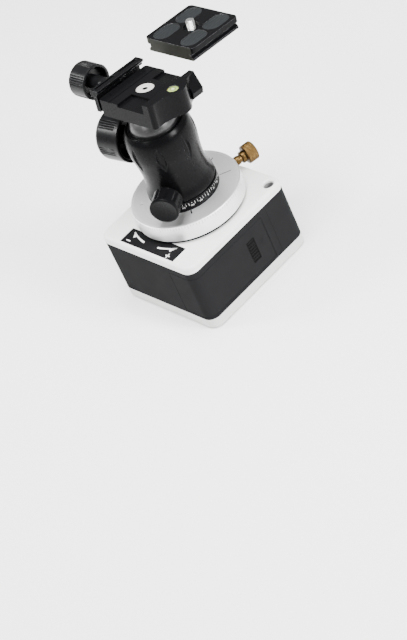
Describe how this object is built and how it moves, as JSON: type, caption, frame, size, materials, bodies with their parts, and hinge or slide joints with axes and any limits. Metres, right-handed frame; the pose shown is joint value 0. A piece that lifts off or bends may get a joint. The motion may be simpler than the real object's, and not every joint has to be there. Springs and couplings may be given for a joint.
{
  "type": "star tracker mount",
  "caption": "Battery-driven star tracker: a square drive box with a polar turntable, ball head, dovetail clamp and quick release camera plate.",
  "frame": {"origin": "on the polar axis, at the mouth of the tripod thread in the bottom face", "axes": "+Z along the polar axis toward the ball head, +X toward the battery door side, -Y toward the labelled front"},
  "size_m": [0.1138, 0.1384, 0.1765],
  "materials": {
    "cover_white": "fine satin moulding",
    "band_black": "fine satin moulding",
    "label_black": "printed film",
    "frame_aluminium": "machined",
    "disc_aluminium": "satin, turned",
    "steel": "ground",
    "bright_steel": "bright",
    "dark_steel": "blackened",
    "bronze": "machined",
    "brass": "aged, knurled",
    "head_black": "black anodised",
    "ball_black": "hard anodised, polished",
    "knob_black": "ribbed grip",
    "pad_rubber": "ribbed",
    "nylon": "natural",
    "felt": "felt",
    "board_green": "solder mask",
    "motor_can": "plated",
    "tray_black": "moulded",
    "cell_jacket": "printed jacket",
    "contact_nickel": "nickel",
    "level_green": "filled vial",
    "lens_red": "clear tinted"
  },
  "bodies": {
    "housing": {"bottom_cover": "cover_white", "middle_housing": "band_black", "top_cover": "cover_white", "label_plate": "label_black", "sight_tube": "cover_white", "housing_screws": "dark_steel", "tripod_insert": "steel", "frame": "frame_aluminium", "bearing_outer_rings": "steel", "bearing_balls": "bright_steel", "worm_bracket": "frame_aluminium", "worm_bearings": "bronze", "drive_motor": "motor_can", "battery_tray": "tray_black", "battery_cells": "cell_jacket", "battery_contacts": "contact_nickel", "circuit_board": "board_green", "switch_bodies": "tray_black", "dc_jack": "tray_black", "status_light": "lens_red", "dust_seal": "felt"},
    "battery_door": {"battery_door": "band_black"},
    "power_switch": {"power_switch": "tray_black"},
    "hemisphere_switch": {"hemisphere_switch": "tray_black"},
    "turntable": {"polar_shaft": "frame_aluminium", "shaft_nut": "steel", "bearing_inner_rings": "steel", "worm_wheel": "bronze", "turntable_disc": "disc_aluminium", "mounting_stud": "steel", "pan_base": "head_black", "pan_retainer": "steel", "pan_washer": "nylon"},
    "worm_shaft": {"worm": "steel", "worm_gear": "bronze"},
    "motor_shaft": {"motor_pinion": "bronze"},
    "thumbscrew": {"thumbscrew": "brass"},
    "ball_head": {"head_housing": "head_black", "ball_seat": "nylon", "ball_collar": "knob_black"},
    "lock_knob": {"lock_knob": "knob_black", "lock_screw": "steel"},
    "pan_knob": {"pan_knob": "head_black", "pan_screw": "steel"},
    "ball": {"ball_stem": "ball_black"},
    "clamp": {"clamp_body": "head_black", "clamp_bolt": "bright_steel", "level_ring": "dark_steel", "level_vial": "level_green"},
    "moving_jaw": {"moving_jaw": "head_black", "jaw_pins": "steel"},
    "clamp_knob": {"clamp_knob": "knob_black", "clamp_screw": "steel"},
    "plate": {"release_plate": "head_black", "rubber_pads": "pad_rubber", "stop_screws": "bright_steel"},
    "camera_screw": {"camera_screw": "bright_steel"},
    "d_ring": {"d_ring": "bright_steel"}
  },
  "joints": [
    {"name": "polar_turn", "type": "hinge", "parent": "housing", "child": "turntable", "pos_m": [0, 0, 0.06], "axis": [0, 0, 1], "continuous": true},
    {"name": "worm_turn", "type": "hinge", "parent": "housing", "child": "worm_shaft", "pos_m": [-0.037, 0, 0.0485], "axis": [0, 1, 0], "continuous": true},
    {"name": "motor_turn", "type": "hinge", "parent": "housing", "child": "motor_shaft", "pos_m": [-0.037, 0, 0.0365], "axis": [0, 1, 0], "continuous": true},
    {"name": "thumbscrew_turn", "type": "hinge", "parent": "turntable", "child": "thumbscrew", "pos_m": [0.00916, 0.03966, 0.0674], "axis": [0.225, 0.9744, 0], "range_deg": [0, 720]},
    {"name": "pan_turn", "type": "hinge", "parent": "turntable", "child": "ball_head", "pos_m": [0, 0, 0.0814], "axis": [0, 0, 1], "continuous": true},
    {"name": "lock_knob_turn", "type": "hinge", "parent": "ball_head", "child": "lock_knob", "pos_m": [-0.02971, -0.00418, 0.118], "axis": [-0.9903, -0.1392, 0], "range_deg": [0, 180]},
    {"name": "pan_knob_turn", "type": "hinge", "parent": "ball_head", "child": "pan_knob", "pos_m": [0.01, -0.01732, 0.089], "axis": [0.5, -0.866, 0], "range_deg": [0, 180]},
    {"name": "ball_tilt", "type": "hinge", "parent": "ball_head", "child": "ball", "pos_m": [0, 0, 0.133], "axis": [-1, 0, 0], "range_deg": [-50, 32]},
    {"name": "clamp_spin", "type": "hinge", "parent": "ball", "child": "clamp", "pos_m": [0, 0, 0.133], "axis": [0, 0.1616, 0.9869], "continuous": true},
    {"name": "clamp_knob_turn", "type": "hinge", "parent": "moving_jaw", "child": "clamp_knob", "pos_m": [-0.04991, 0.00079, 0.15668], "axis": [0.9981, 0.0602, -0.0099], "range_deg": [0, 828]},
    {"name": "jaw_slide", "type": "slide", "parent": "clamp", "child": "moving_jaw", "axis": [0.9981, 0.0602, -0.0099], "range_m": [0, 0.0039]},
    {"name": "plate_slide", "type": "slide", "parent": "clamp", "child": "plate", "axis": [0.1259, -0.9912, 0.0405], "range_m": [0, 0.05492]},
    {"name": "camera_screw_turn", "type": "hinge", "parent": "plate", "child": "camera_screw", "pos_m": [-0.00432, 0.05954, 0.16095], "axis": [0, 0.1616, 0.9869], "continuous": true},
    {"name": "d_ring_fold", "type": "hinge", "parent": "camera_screw", "child": "d_ring", "pos_m": [-0.00432, 0.05984, 0.16282], "axis": [-0.9981, -0.0602, 0.0099], "range_deg": [-95, 0]},
    {"name": "battery_door_slide", "type": "slide", "parent": "housing", "child": "battery_door", "axis": [0, -1, 0], "range_m": [0, 0.062]},
    {"name": "power_switch_slide", "type": "slide", "parent": "housing", "child": "power_switch", "axis": [0, 0, 1], "range_m": [0, 0.0067]},
    {"name": "hemisphere_switch_slide", "type": "slide", "parent": "housing", "child": "hemisphere_switch", "axis": [0, 0, -1], "range_m": [0, 0.0047]}
  ],
  "couplings": [
    {"joint": "worm_turn", "follows": "polar_turn", "ratio": 72},
    {"joint": "motor_turn", "follows": "polar_turn", "ratio": -85.091},
    {"joint": "jaw_slide", "follows": "clamp_knob_turn", "m_per_rad": 0.00023873}
  ]
}
